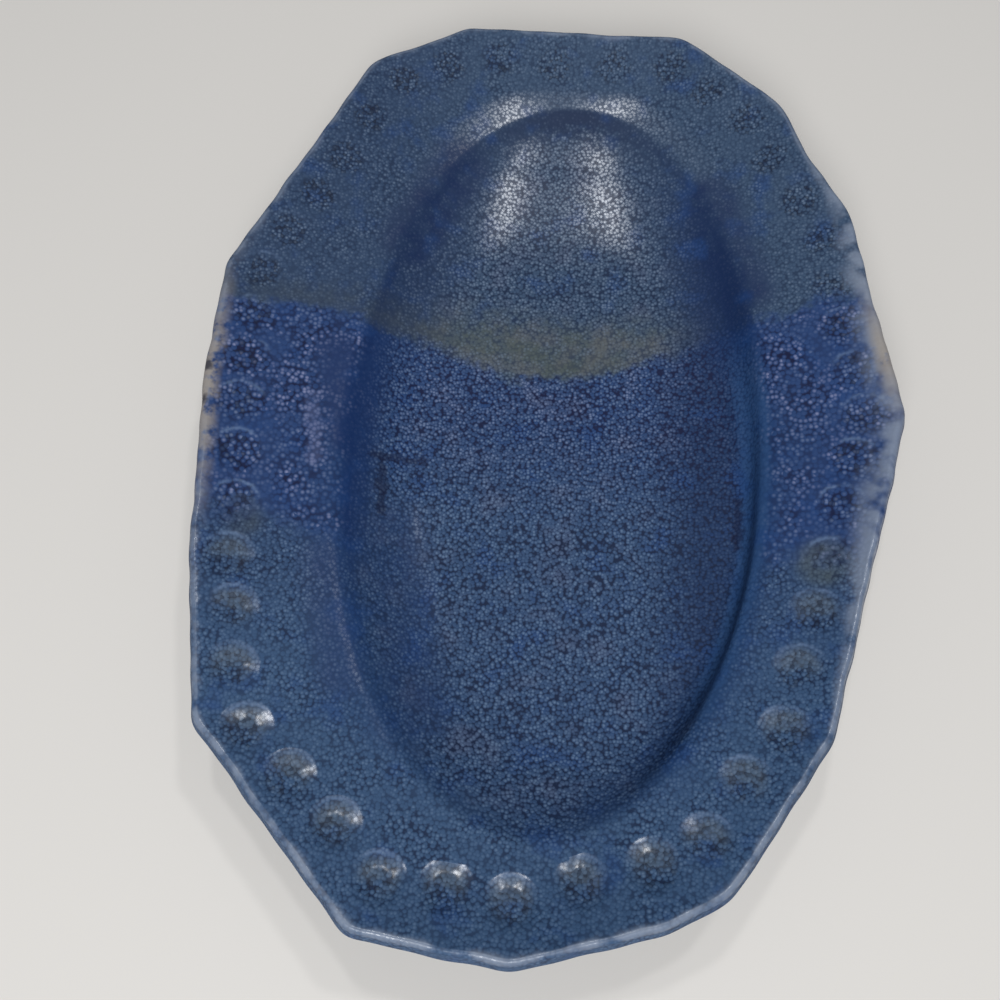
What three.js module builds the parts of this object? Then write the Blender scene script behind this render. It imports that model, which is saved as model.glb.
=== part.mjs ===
// Slab-built stoneware platter: a sunken oval well, a sloping rim with a facet-cut edge and a row of
// round stamps pressed into it, a coiled foot ring stuck on with slip, and two overlapping coats of
// glaze. Millimetres, +X to the right, +Y along the well to the far end, +Z up, with the origin under
// the middle of the platter on the surface that it stands on.
import * as THREE from 'three';

// Outline of the slab, over the cut clay edge
const LENGTH = 380;
const WIDTH = 267;
const OVAL_POWER = 2.2;
// Corners of the cut edge: degrees round from +X, and how far each stands outside the oval
const CUT_CORNERS = [
  [5, 0], [41, 0], [53, -2], [60, 5], [76, 8], [104, 7], [118, 10], [156, 4],
  [175, -1], [207, -3], [227, 5], [254, 5], [270, 0], [285, -5], [293, -4], [313, -10],
];

// Section of the slab, from the foot up
const FOOT_HEIGHT = 7;
const SLIP_THICKNESS = 0.5;
const SLAB_THICKNESS = 8;
const WELL_DEPTH = 15.5;
const RIM_RISE = 14;

// Well and rim
const SIDE_RIM_WIDTH = 49.5;
const END_RIM_WIDTH = 36;
// The lip lies off the middle of the outline. The floor lies to the right of it and nearer, with its far
// end turned back to the left, and the wall below the lip's step is drawn out at both ends
const LIP_TO_RIGHT = 3;
const LIP_TO_FAR_END = 3;
const LIP_STEP = 3;
const LIP_STEP_CURVE = 1.5;
const FLOOR_TO_RIGHT = 8;
const FLOOR_TO_NEAR_END = 14;
const FLOOR_TURN = 6.5;
const END_WALL_DRAWN_OUT = 28;
const WALL_ANGLE = 50;
const LIP_CURVE_BELOW = 4;
const FLOOR_CURVE = 18;
const FLOOR_CURVE_ROOM = 0.9;
// The floor sags towards its middle, more on top than underneath
const FLOOR_SAG = 3;
const FLOOR_SAG_REACH = 42;
const SEAT_SAG = 1;

// Stamps pressed into the rim
const STAMP_DIAMETER = 17;
const STAMP_GAP = 3.5;
const STAMP_FROM_EDGE = 3.5;
const STAMP_LAND = 1.5;
const STAMP_DEPTH = 1.4;
const STAMP_DRAFT = 1.2;
const STAMP_BOSS = 0.6;
const STAMP_SIDES = 10;
const FIRST_STAMP_FROM_CORNER = -12;
// How far the stamps are drawn from even spacing, which crowds them along the sides
const STAMP_CROWDING = 12.5;
// How much further in the stamps lie at the near end
const STAMP_FURTHER_IN = 6;

// Foot ring and the slip that holds it
const FOOT_WIDTH = 10;
const FOOT_INSET = 4;
const FOOT_CHAMFER = 1.5;
const SLIP_SPREAD = 0.8;
const SEAT_LAND = 2;

// Glaze: coat thickness, and how much of the length each dip wets from its own end
const FIRST_GLAZE = 0.6;
const SECOND_GLAZE = 0.6;
const FIRST_DIP = 240;
const SECOND_DIP = 244;

// Heights and slopes that follow from the sizes above
const SEAT_Z = FOOT_HEIGHT + SLIP_THICKNESS;
const FLOOR_Z = SEAT_Z + SLAB_THICKNESS;
const LIP_Z = FLOOR_Z + WELL_DEPTH;
const EDGE_Z = LIP_Z + RIM_RISE;
const RIM_SLOPE = Math.atan2(RIM_RISE, (SIDE_RIM_WIDTH + END_RIM_WIDTH) / 2);
const EDGE_OVERHANG = SLAB_THICKNESS * Math.sin(RIM_SLOPE);
const EDGE_DROP = SLAB_THICKNESS * Math.cos(RIM_SLOPE);
const LIP_HALF_WIDTH = WIDTH / 2 - SIDE_RIM_WIDTH;
const LIP_HALF_LENGTH = LENGTH / 2 - END_RIM_WIDTH;
const STAMP_ROW_OUTER = EDGE_OVERHANG + STAMP_FROM_EDGE;
const STAMP_ROW_INNER = STAMP_ROW_OUTER + STAMP_DIAMETER + STAMP_LAND;

// Cut edge: straight facets between the corners, fitted to the length and width
function cutCorners() {
  const points = CUT_CORNERS.map(([degrees, outside]) => {
    const angle = THREE.MathUtils.degToRad(degrees);
    const across = Math.abs(Math.cos(angle) / (WIDTH / 2)) ** OVAL_POWER;
    const along = Math.abs(Math.sin(angle) / (LENGTH / 2)) ** OVAL_POWER;
    const radius = (across + along) ** (-1 / OVAL_POWER) + outside;
    return new THREE.Vector2(radius * Math.cos(angle), radius * Math.sin(angle));
  });
  const box = new THREE.Box2().setFromPoints(points);
  const middle = box.getCenter(new THREE.Vector2());
  const fit = new THREE.Vector2(WIDTH, LENGTH).divide(box.getSize(new THREE.Vector2()));
  return points.map((point) => point.sub(middle).multiply(fit));
}

const corners = cutCorners();
const facets = corners.map((from, i) => {
  const to = corners[(i + 1) % corners.length];
  const outward = new THREE.Vector2(to.y - from.y, from.x - to.x).normalize();
  return { from, to, length: from.distanceTo(to), outward };
});
const perimeter = facets.reduce((sum, facet) => sum + facet.length, 0);

function outwardAtCorner(i) {
  const before = facets[(i + facets.length - 1) % facets.length];
  return facets[i % facets.length].outward.clone().add(before.outward).normalize();
}

// Point of the cut edge a distance round from the first corner, with a direction that turns evenly
function edgeAt(distance) {
  let rest = THREE.MathUtils.euclideanModulo(distance, perimeter);
  let i = 0;
  while (rest > facets[i].length) {
    rest -= facets[i].length;
    i += 1;
  }
  const share = rest / facets[i].length;
  const point = facets[i].from.clone().lerp(facets[i].to, share);
  const outward = outwardAtCorner(i).lerp(outwardAtCorner(i + 1), share).normalize();
  return { point, outward };
}

// Stamps go round evenly, in fours, so that the well's columns pair up across its long axis
const stampRowLength = perimeter - 2 * Math.PI * (STAMP_ROW_OUTER + STAMP_DIAMETER / 2);
const QUARTER = Math.floor(stampRowLength / (4 * (STAMP_DIAMETER + STAMP_GAP)));
const STAMPS = 4 * QUARTER;

const lipOval = new THREE.EllipseCurve(0, 0, LIP_HALF_WIDTH, LIP_HALF_LENGTH);
const columnAngles = lipOval.getSpacedPoints(STAMPS).slice(0, STAMPS)
  .map((point) => Math.atan2(point.y / LIP_HALF_LENGTH, point.x / LIP_HALF_WIDTH));

// Middle of the well at a column, which moves as the wall sinks from the lip, by nought, to the floor, by one
function wellMiddle(sunk, angle, z) {
  const across = LIP_TO_RIGHT + sunk * (FLOOR_TO_RIGHT - FLOOR_TURN * Math.sin(angle));
  return new THREE.Vector3(across, LIP_TO_FAR_END - sunk * FLOOR_TO_NEAR_END, z);
}

// Oval inside the lip by an inset, at a height
function ovalRow(inset, z, sunk) {
  return columnAngles.map((angle) => {
    const across = (LIP_HALF_WIDTH - inset) * Math.cos(angle);
    const along = (LIP_HALF_LENGTH - inset - sunk * END_WALL_DRAWN_OUT) * Math.sin(angle);
    return wellMiddle(sunk, angle, z).add(new THREE.Vector3(across, along, 0));
  });
}

// How far the wall has sunk at a height: hardly at all down the lip's step, then evenly
function sunkAt(z) {
  const belowStep = LIP_Z - LIP_STEP - z;
  const top = Math.hypot(LIP_STEP, LIP_STEP_CURVE) - LIP_STEP;
  const bottom = Math.hypot(WELL_DEPTH - LIP_STEP, LIP_STEP_CURVE) + WELL_DEPTH - LIP_STEP;
  return (Math.hypot(belowStep, LIP_STEP_CURVE) + belowStep - top) / (bottom - top);
}

// Section of the well's wall from lip to floor: a rolled lip, a straight and the floor's curve
function wallSection() {
  const wall = THREE.MathUtils.degToRad(WALL_ANGLE);
  const rollRadius = LIP_CURVE_BELOW + SLAB_THICKNESS;
  const roll = [RIM_SLOPE, wall].map((slope) => ({
    slope,
    inset: rollRadius * (Math.sin(slope) - Math.sin(RIM_SLOPE)),
    z: LIP_Z - rollRadius * (Math.cos(RIM_SLOPE) - Math.cos(slope)),
  }));
  const rollEnd = roll[roll.length - 1];
  const room = (rollEnd.z - FLOOR_Z) / (1 - Math.cos(wall));
  const curveRadius = Math.min(FLOOR_CURVE, FLOOR_CURVE_ROOM * room);
  const straightDrop = rollEnd.z - FLOOR_Z - curveRadius * (1 - Math.cos(wall));
  const floorInset = rollEnd.inset + straightDrop / Math.tan(wall) + curveRadius * Math.sin(wall);
  const curve = [wall, wall / 2, 0].map((slope) => ({
    slope,
    inset: floorInset - curveRadius * Math.sin(slope),
    z: FLOOR_Z + curveRadius * (1 - Math.cos(slope)),
  }));
  return [...roll, ...curve].map((row) => ({ ...row, sunk: sunkAt(row.z) }));
}

const section = wallSection();
const FLOOR_INSET = section[section.length - 1].inset;
const FOOT_OUTER = FLOOR_INSET + FOOT_INSET;
const FOOT_INNER = FOOT_OUTER + FOOT_WIDTH;
const SEAT_INSET = FOOT_INNER + SLIP_SPREAD + SEAT_LAND;

// Line along the middle of the floor, one point for each pair of columns across it
function spineRow(z) {
  const halfWidth = LIP_HALF_WIDTH - FLOOR_INSET;
  const halfLength = LIP_HALF_LENGTH - FLOOR_INSET - END_WALL_DRAWN_OUT - halfWidth / 2;
  const points = [];
  for (let pair = 0; pair <= 2 * QUARTER; pair += 1) {
    const angle = columnAngles[(3 * QUARTER + pair) % STAMPS];
    const along = new THREE.Vector3(0, halfLength * Math.sin(angle), 0);
    points.push(wellMiddle(1, angle, z).add(along));
  }
  return columnAngles.map((angle, i) => {
    if (i <= QUARTER) {
      return points[QUARTER + i];
    }
    return i <= 3 * QUARTER ? points[3 * QUARTER - i] : points[i - 3 * QUARTER];
  });
}

// Height of the floor a distance inside its border
function floorHeight(inside) {
  const level = 1 - Math.min(1, inside / FLOOR_SAG_REACH);
  return FLOOR_Z - FLOOR_SAG * (1 - level ** 2);
}

// Distance round the cut edge of a rim column, of which there are two for each stamp
function columnDistance(i) {
  const even = FIRST_STAMP_FROM_CORNER + (i * perimeter) / (2 * STAMPS);
  return even - STAMP_CROWDING * Math.sin((4 * Math.PI * even) / perimeter);
}

// Rim rows: the stamp row's borders and the cut edge's two arrises
function rimRows() {
  const columns = [];
  for (let i = 0; i < 2 * STAMPS; i += 1) {
    columns.push(edgeAt(columnDistance(i)));
  }
  const lip = ovalRow(0, LIP_Z, 0);
  const lipAt = (i) => lip[Math.floor(i / 2)].clone().lerp(lip[Math.ceil(i / 2) % STAMPS], 0.5);
  const onRim = (column, rowInset, i) => {
    const nearEnd = Math.max(0, -column.outward.y);
    const inset = rowInset + STAMP_FURTHER_IN * nearEnd ** 2;
    const plan = column.point.clone().addScaledVector(column.outward, -inset);
    const fromEdge = inset - EDGE_OVERHANG;
    const rimWidth = column.point.distanceTo(lipAt(i)) - EDGE_OVERHANG;
    return new THREE.Vector3(plan.x, plan.y, EDGE_Z - (RIM_RISE * fromEdge) / rimWidth);
  };
  const inner = columns.map((column, i) => onRim(column, STAMP_ROW_INNER, i));
  const outer = columns.map((column, i) => onRim(column, STAMP_ROW_OUTER, i));
  corners.forEach((corner, k) => {
    const gaps = columns.map((column) => column.point.distanceTo(corner));
    const nearest = gaps.indexOf(Math.min(...gaps));
    columns[nearest] = { point: corner, outward: outwardAtCorner(k) };
  });
  const upper = columns.map(({ point, outward }) => {
    const plan = point.clone().addScaledVector(outward, -EDGE_OVERHANG);
    return new THREE.Vector3(plan.x, plan.y, EDGE_Z);
  });
  const lower = columns.map(({ point }) => new THREE.Vector3(point.x, point.y, EDGE_Z - EDGE_DROP));
  return { inner, outer, upper, lower };
}

// Skin of the platter: triangles of points, each in the cell of one stamp
const skin = [];

function addFace(cell, glazed, ...points) {
  for (let i = 2; i < points.length; i += 1) {
    skin.push({ cell, glazed, points: [points[0], points[i - 1], points[i]] });
  }
}

// Band of skin from one row to the next, where either row may have two columns for each stamp
function addBand(from, to, glazed) {
  for (let cell = 0; cell < STAMPS; cell += 1) {
    const next = (cell + 1) % STAMPS;
    if (from.length === to.length) {
      const step = from.length / STAMPS;
      for (let i = cell * step; i < (cell + 1) * step; i += 1) {
        const after = (i + 1) % from.length;
        addFace(cell, glazed, from[i], to[i], to[after], from[after]);
      }
    } else if (from.length < to.length) {
      addFace(cell, glazed, from[cell], to[2 * cell], to[2 * cell + 1]);
      addFace(cell, glazed, from[cell], to[2 * cell + 1], from[next]);
      addFace(cell, glazed, from[next], to[2 * cell + 1], to[2 * next]);
    } else {
      addFace(cell, glazed, from[2 * cell], to[cell], from[2 * cell + 1]);
      addFace(cell, glazed, from[2 * cell + 1], to[cell], to[next]);
      addFace(cell, glazed, from[2 * cell + 1], to[next], from[2 * next]);
    }
  }
}

// Faces between a cell's border and the ring inside it, both going round from angle zero
function addCollar(cell, border, borderAngles, ring) {
  const turn = 2 * Math.PI;
  let i = 0;
  let k = 0;
  while (i < border.length || k < ring.length) {
    const borderNext = i + 1 < border.length ? borderAngles[i + 1] : turn;
    const ringNext = ((k + 1) * turn) / ring.length;
    const a = border[i % border.length];
    const b = ring[k % ring.length];
    if (k === ring.length || (i < border.length && borderNext <= ringNext)) {
      i += 1;
      addFace(cell, true, a, border[i % border.length], b);
    } else {
      k += 1;
      addFace(cell, true, b, a, ring[k % ring.length]);
    }
  }
}

// Round stamp: a dished impression with a low boss in its middle
function addStamp(cell, inner, outer) {
  const first = 2 * cell;
  const middle = first + 1;
  const last = (first + 2) % inner.length;
  const centre = inner[middle].clone().lerp(outer[middle], 0.5);
  const outward = outer[middle].clone().sub(inner[middle]).normalize();
  const round = outer[last].clone().sub(outer[first]);
  const up = outward.clone().cross(round).normalize();
  const along = up.clone().cross(outward);
  const at = (radius, angle, depth) => centre.clone()
    .addScaledVector(outward, radius * Math.cos(angle))
    .addScaledVector(along, radius * Math.sin(angle))
    .addScaledVector(up, -depth);
  const ringOf = (radius, depth) => Array.from({ length: STAMP_SIDES },
    (unused, k) => at(radius, (2 * Math.PI * k) / STAMP_SIDES, depth));
  const rimRing = ringOf(STAMP_DIAMETER / 2, 0);
  const floorRing = ringOf(STAMP_DIAMETER / 2 - STAMP_DRAFT, STAMP_DEPTH);
  const boss = at(0, 0, STAMP_DEPTH - STAMP_BOSS);
  const border = [outer[middle], outer[last], inner[last], inner[middle], inner[first], outer[first]];
  const angles = border.map((point, i) => {
    const arm = point.clone().sub(centre);
    const angle = Math.atan2(arm.dot(along), arm.dot(outward));
    return i === 0 ? 0 : THREE.MathUtils.euclideanModulo(angle, 2 * Math.PI);
  });
  addCollar(cell, border, angles, rimRing);
  for (let k = 0; k < STAMP_SIDES; k += 1) {
    const next = (k + 1) % STAMP_SIDES;
    addFace(cell, true, floorRing[k], rimRing[k], rimRing[next], floorRing[next]);
    addFace(cell, true, boss, floorRing[k], floorRing[next]);
  }
}

// The skin goes from the middle of the floor up over the rim and back under to the middle
function addSkin() {
  const rim = rimRows();
  const seat = ovalRow(SEAT_INSET, floorHeight(SEAT_INSET - FLOOR_INSET), 1);
  const wall = section.map((row) => ovalRow(row.inset, row.z, row.sunk)).reverse();
  const lip = wall[wall.length - 1];
  addBand(spineRow(FLOOR_Z - FLOOR_SAG), seat, true);
  addBand(seat, wall[0], true);
  wall.slice(1).forEach((row, i) => addBand(wall[i], row, true));
  addBand(lip, rim.inner, true);
  for (let cell = 0; cell < STAMPS; cell += 1) {
    addStamp(cell, rim.inner, rim.outer);
  }
  addBand(rim.outer, rim.upper, true);
  addBand(rim.upper, rim.lower, true);
  const under = section.map((row) => ovalRow(
    row.inset - SLAB_THICKNESS * Math.sin(row.slope),
    row.z - SLAB_THICKNESS * Math.cos(row.slope),
    row.sunk,
  ));
  const seatUnder = ovalRow(SEAT_INSET, SEAT_Z, 1);
  addBand(rim.lower, under[0], true);
  addBand(under[0], under[1], true);
  under.slice(2).forEach((row, i) => addBand(under[i + 1], row, false));
  addBand(under[under.length - 1], seatUnder, false);
  addBand(seatUnder, spineRow(SEAT_Z - SEAT_SAG), false);
}

// Closed solid from faces of points, where the same point object is the same corner
function solidFrom(faces) {
  const places = new Map();
  const index = [];
  faces.forEach((face) => face.forEach((point) => {
    if (!places.has(point)) {
      places.set(point, places.size);
    }
    index.push(places.get(point));
  }));
  const positions = [...places.keys()].flatMap((point) => point.toArray());
  const geometry = new THREE.BufferGeometry();
  geometry.setAttribute('position', new THREE.Float32BufferAttribute(positions, 3));
  geometry.setIndex(index);
  geometry.computeVertexNormals();
  return geometry;
}

// Outward direction at each point of the skin
function skinDirections() {
  const directions = new Map();
  skin.forEach(({ points: [a, b, c] }) => {
    const across = b.clone().sub(a).cross(c.clone().sub(a));
    [a, b, c].forEach((point) => {
      directions.set(point, (directions.get(point) ?? new THREE.Vector3()).add(across));
    });
  });
  directions.forEach((direction) => direction.normalize());
  return directions;
}

// Points of a coat's outer face: lifted off the points below, except where the coat runs out
function coatPoints(wetted, below, directions, thickness) {
  const wet = new Set(skin.filter(wetted).flatMap((face) => face.points));
  const dry = new Set(skin.filter((face) => !wetted(face)).flatMap((face) => face.points));
  const lift = (point) => below(point).clone().addScaledVector(directions.get(point), thickness);
  const lifted = new Map();
  wet.forEach((point) => lifted.set(point, dry.has(point) ? below(point) : lift(point)));
  return (point) => lifted.get(point) ?? below(point);
}

function coatSolid(wetted, below, above) {
  return solidFrom(skin.filter(wetted).flatMap(({ points: [a, b, c] }) => [
    [above(a), above(b), above(c)],
    [below(c), below(b), below(a)],
  ]));
}

// Column on the right-hand side, counted from the end of the short axis, nearest to a dip's line
function dipColumn(y) {
  let nearest = -QUARTER;
  for (let column = -QUARTER; column <= QUARTER; column += 1) {
    const lipSine = (i) => Math.sin(columnAngles[(i + STAMPS) % STAMPS]);
    const lipY = (i) => LIP_TO_FAR_END + LIP_HALF_LENGTH * lipSine(i);
    if (Math.abs(lipY(column) - y) < Math.abs(lipY(nearest) - y)) {
      nearest = column;
    }
  }
  return nearest;
}

// Ring of oval section rows, given from the top inside corner round to the outside and under
function ovalRing(rows) {
  const ovals = rows.map(([inset, z]) => ovalRow(inset, z, 1));
  const faces = [];
  ovals.forEach((from, r) => {
    const to = ovals[(r + 1) % ovals.length];
    from.forEach((point, i) => {
      const next = (i + 1) % from.length;
      faces.push([point, to[i], to[next]], [point, to[next], from[next]]);
    });
  });
  return solidFrom(faces);
}

function footRing() {
  return ovalRing([
    [FOOT_INNER, FOOT_HEIGHT],
    [FOOT_OUTER, FOOT_HEIGHT],
    [FOOT_OUTER, FOOT_CHAMFER],
    [FOOT_OUTER + FOOT_CHAMFER, 0],
    [FOOT_INNER - FOOT_CHAMFER, 0],
    [FOOT_INNER, FOOT_CHAMFER],
  ]);
}

// Slip squeezed out a little on both sides of the foot ring, against the slab
function footSlip() {
  return ovalRing([
    [FOOT_INNER + SLIP_SPREAD, SEAT_Z],
    [FOOT_OUTER - SLIP_SPREAD, SEAT_Z],
    [FOOT_OUTER, FOOT_HEIGHT],
    [FOOT_INNER, FOOT_HEIGHT],
  ]);
}

addSkin();
const directions = skinDirections();
const farColumn = dipColumn(LENGTH / 2 - FIRST_DIP);
const nearColumn = dipColumn(SECOND_DIP - LENGTH / 2);
const inFirstDip = ({ cell, glazed }) => {
  const turn = (cell - farColumn + STAMPS) % STAMPS;
  return glazed && turn < 2 * QUARTER - 2 * farColumn;
};
const inSecondDip = ({ cell, glazed }) => {
  const turn = (cell - nearColumn + STAMPS) % STAMPS;
  return glazed && turn >= 2 * QUARTER - 2 * nearColumn;
};
const clay = (point) => point;
const overFirst = coatPoints(inFirstDip, clay, directions, FIRST_GLAZE);
const overSecond = coatPoints(inSecondDip, overFirst, directions, SECOND_GLAZE);

const stoneware = { color: 0xb9a58a, roughness: 0.85, metalness: 0 };
const looks = {
  clay_slab: stoneware,
  foot_ring: stoneware,
  foot_slip: { color: 0xcbbba3, roughness: 0.9, metalness: 0 },
  first_glaze_dip: { color: 0x34568c, roughness: 0.35, metalness: 0 },
  second_glaze_dip: { color: 0x2c4a86, roughness: 0.35, metalness: 0 },
};
const solids = {
  clay_slab: solidFrom(skin.map((face) => face.points)),
  foot_ring: footRing(),
  foot_slip: footSlip(),
  first_glaze_dip: coatSolid(inFirstDip, clay, overFirst),
  second_glaze_dip: coatSolid(inSecondDip, overFirst, overSecond),
};

const platter = new THREE.Group();
platter.name = 'platter';
Object.entries(solids).forEach(([name, geometry]) => {
  const mesh = new THREE.Mesh(geometry, new THREE.MeshStandardMaterial(looks[name]));
  mesh.name = name;
  platter.add(mesh);
});

export default platter;
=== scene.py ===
import math

import bpy
import numpy as np
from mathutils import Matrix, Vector


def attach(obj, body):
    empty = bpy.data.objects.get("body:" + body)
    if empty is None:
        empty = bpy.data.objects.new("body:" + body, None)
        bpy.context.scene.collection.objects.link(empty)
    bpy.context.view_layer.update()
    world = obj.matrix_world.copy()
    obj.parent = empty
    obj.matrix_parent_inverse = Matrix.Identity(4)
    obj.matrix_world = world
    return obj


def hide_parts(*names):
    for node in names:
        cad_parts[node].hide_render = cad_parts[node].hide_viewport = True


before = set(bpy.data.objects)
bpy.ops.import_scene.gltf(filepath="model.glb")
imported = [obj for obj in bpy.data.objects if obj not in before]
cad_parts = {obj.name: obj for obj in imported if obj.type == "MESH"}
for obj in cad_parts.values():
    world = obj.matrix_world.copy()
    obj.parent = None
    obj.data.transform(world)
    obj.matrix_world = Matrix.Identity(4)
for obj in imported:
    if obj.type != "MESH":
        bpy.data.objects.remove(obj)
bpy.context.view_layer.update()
MM = 0.001
TURN = 2 * math.pi
chance = np.random.default_rng(44)

# Outline of the slab, over the cut clay edge
LENGTH = 380
WIDTH = 267
OVAL_POWER = 2.2
# Corners of the cut edge: degrees round from +X, and how far each stands outside the oval
CUT_CORNERS = [
    (5, 0), (41, 0), (53, -2), (60, 5), (76, 8), (104, 7), (118, 10), (156, 4),
    (175, -1), (207, -3), (227, 5), (254, 5), (270, 0), (285, -5), (293, -4), (313, -10),
]

# Section of the slab, from the foot up
FOOT_HEIGHT = 7
SLIP_THICKNESS = 0.5
SLAB_THICKNESS = 8
WELL_DEPTH = 15.5
RIM_RISE = 14
SIDE_RIM_WIDTH = 49.5
END_RIM_WIDTH = 36
# The lip lies off the middle of the outline. The floor lies to the right of it and nearer, with its far
# end turned back to the left, and the wall below the lip's step is drawn out at both ends
LIP_TO_RIGHT = 3
LIP_TO_FAR_END = 3
LIP_STEP = 3
LIP_STEP_CURVE = 1.8
FLOOR_TO_RIGHT = 8
FLOOR_TO_NEAR_END = 14
FLOOR_TURN = 6.5
END_WALL_DRAWN_OUT = 28
WALL_ANGLE = math.radians(50)
LIP_CURVE_BELOW = 4
FLOOR_CURVE = 25
FLOOR_SAG = 3
FLOOR_SAG_REACH = 42
SEAT_SAG = 1
RIM_HOLLOW = 1.2
FAR_RIM_SLOPE = math.radians(16)
UPPER_ARRIS = 1.3
LOWER_ARRIS = 1.6
CORNER_SOFTENING = 3
TRIM_DEPTH = 0.9
RIM_DIP = 0.7

# Stamps pressed into the rim. What is inside a stamp is given in shares of its radius
STAMPS = 44
STAMP_DIAMETER = 17
STAMP_FROM_EDGE = 3.5
STAMP_LAND = 1.5
STAMP_DEPTH = 0.95
STAMP_BOSS = 0.07
STAMP_BOSS_REACH = 0.2
STAMP_PETALS = 9
STAMP_PETAL_HEIGHT = 0.05
STAMP_BORDER = 0.03
STAMP_BORDER_AT = 1.15
STAMP_BORDER_REACH = 0.12
STAMP_REACH = 1.35
FAR_FROM_STAMPS = 2.0
# Force of the hand: faint at the far end, firm at the near end, and lighter on the right
LEAST_FORCE = 0.85
MOST_FORCE = 1.05
FAINT_FORCE = 0.3
FAINT_STAMPS_FROM = -60
FIRM_STAMPS_FROM = 90
LIGHT_FORCE = 0.6
# Places: crowded along the sides, further in at the near end, further out on the near left
FIRST_STAMP_FROM_CORNER = -12
STAMP_CROWDING = 12.5
STAMP_FURTHER_IN = 6
STAMP_FURTHER_OUT = 3
STAMP_ASTRAY = 0.8

# Foot ring and the slip that holds it
FOOT_WIDTH = 10
FOOT_INSET = 4
FOOT_CHAMFER = 1.5
FOOT_PINCH = 0.35
SLIP_SPREAD = 0.8
SLIP_LIFT = 0.02
SEAT_LAND = 2

# Glaze coats, and the stamps' cells that each covers, counted round from the right-hand side
GLAZE = 0.6
FIRST_COAT_CELLS = (-3, 28)
SECOND_COAT_CELLS = (19, 28)
COAT_RUNS_OUT_OVER = 56
COAT_STEP = 0.04
GLAZE_TUCK = 0.02
WAX_TUCK = 0.25

# Heights and slopes that follow from the sizes above
SEAT_Z = FOOT_HEIGHT + SLIP_THICKNESS
FLOOR_Z = SEAT_Z + SLAB_THICKNESS
LIP_Z = FLOOR_Z + WELL_DEPTH
EDGE_Z = LIP_Z + RIM_RISE
RIM_SLOPE = math.atan2(RIM_RISE, (SIDE_RIM_WIDTH + END_RIM_WIDTH) / 2)
FLOOR_TILT = math.atan2(2 * FLOOR_SAG, FLOOR_SAG_REACH)
EDGE_OVERHANG = SLAB_THICKNESS * math.sin(RIM_SLOPE)
LIP_HALF_WIDTH = WIDTH / 2 - SIDE_RIM_WIDTH
LIP_HALF_LENGTH = LENGTH / 2 - END_RIM_WIDTH
STAMP_ROW = EDGE_OVERHANG + STAMP_FROM_EDGE + (STAMP_DIAMETER + STAMP_LAND) / 2
STAMP_BAND = 22
# Distance from the edge that is given to the well, which is further from it than any of the rim
WELL_FROM_EDGE = 50.0

# Fineness of the meshes
FINE = 28
COARSE = 4
COLUMNS = STAMPS * FINE
SHARP_EDGE = math.radians(60)


# Cut edge
def unit(vectors):
    return vectors / np.maximum(np.linalg.norm(vectors, axis=-1, keepdims=True), 1e-12)


def smooth(low, high, value):
    share = np.clip((value - low) / (high - low), 0, 1)
    return share * share * (3 - 2 * share)


def cut_corners():
    degrees, outside = np.array(CUT_CORNERS, float).T
    angle = np.radians(degrees)
    across = np.abs(np.cos(angle) / (WIDTH / 2)) ** OVAL_POWER
    along = np.abs(np.sin(angle) / (LENGTH / 2)) ** OVAL_POWER
    radius = (across + along) ** (-1 / OVAL_POWER) + outside
    points = np.column_stack([radius * np.cos(angle), radius * np.sin(angle)])
    low = points.min(axis=0)
    high = points.max(axis=0)
    return (points - (low + high) / 2) * np.array([WIDTH, LENGTH]) / (high - low)


corners = cut_corners()
facets = np.roll(corners, -1, axis=0) - corners
facet_lengths = np.linalg.norm(facets, axis=1)
PERIMETER = facet_lengths.sum()
corner_distances = np.concatenate([[0], np.cumsum(facet_lengths)[:-1]])
facet_outward = np.column_stack([facets[:, 1], -facets[:, 0]]) / facet_lengths[:, None]
corner_outward = unit(facet_outward + np.roll(facet_outward, 1, axis=0))


def round_edge(distance, at_corners, softening):
    """What is given at the corners, a distance round the edge, with the turns at the corners softened"""
    total = np.zeros(np.shape(distance) + (2,))
    weights = 0
    for step in np.linspace(-2, 2, 17):
        weight = math.exp(-step * step / 2)
        place = distance + step * softening
        values = [np.interp(place, corner_distances, v, period=PERIMETER) for v in at_corners.T]
        total += weight * np.stack(values, axis=-1)
        weights += weight
    return total / weights


def edge_distance(share):
    even = FIRST_STAMP_FROM_CORNER + share * PERIMETER
    return even - STAMP_CROWDING * np.sin(2 * TURN * even / PERIMETER)


def hand_wave(share, cycles):
    """Uneven wave round the platter, between about -1 and 1"""
    wave = np.zeros_like(share)
    for cycle in cycles:
        wave += np.sin(TURN * cycle * share + chance.uniform(0, TURN))
    return wave / len(cycles)


# Columns round the platter
share = np.arange(COLUMNS) / COLUMNS
trim = 0.5 + 0.5 * hand_wave(share, [17, 29, 41, 67])
edge_outward = unit(round_edge(edge_distance(share), corner_outward, CORNER_SOFTENING))
edge_plan = round_edge(edge_distance(share), corners, CORNER_SOFTENING)
edge_plan = edge_plan - TRIM_DEPTH * trim[:, None] * edge_outward
rim_dip = RIM_DIP + RIM_DIP * hand_wave(share, [3, 5, 8, 13])


def evenly_round(count):
    """Angles of points that are evenly spaced along the lip's oval"""
    fine = np.linspace(0, TURN, 20001)
    pace = np.hypot(LIP_HALF_WIDTH * np.sin(fine), LIP_HALF_LENGTH * np.cos(fine))
    length = np.concatenate([[0], np.cumsum((pace[1:] + pace[:-1]) / 2)])
    return np.interp(np.arange(count) / count * length[-1], length, fine)


column_angles = evenly_round(COLUMNS)


def well_middle(sunk, angles):
    across = LIP_TO_RIGHT + sunk * (FLOOR_TO_RIGHT - FLOOR_TURN * np.sin(angles))
    along = LIP_TO_FAR_END - sunk * FLOOR_TO_NEAR_END
    return np.column_stack([across, np.broadcast_to(along, len(angles))])


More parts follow.
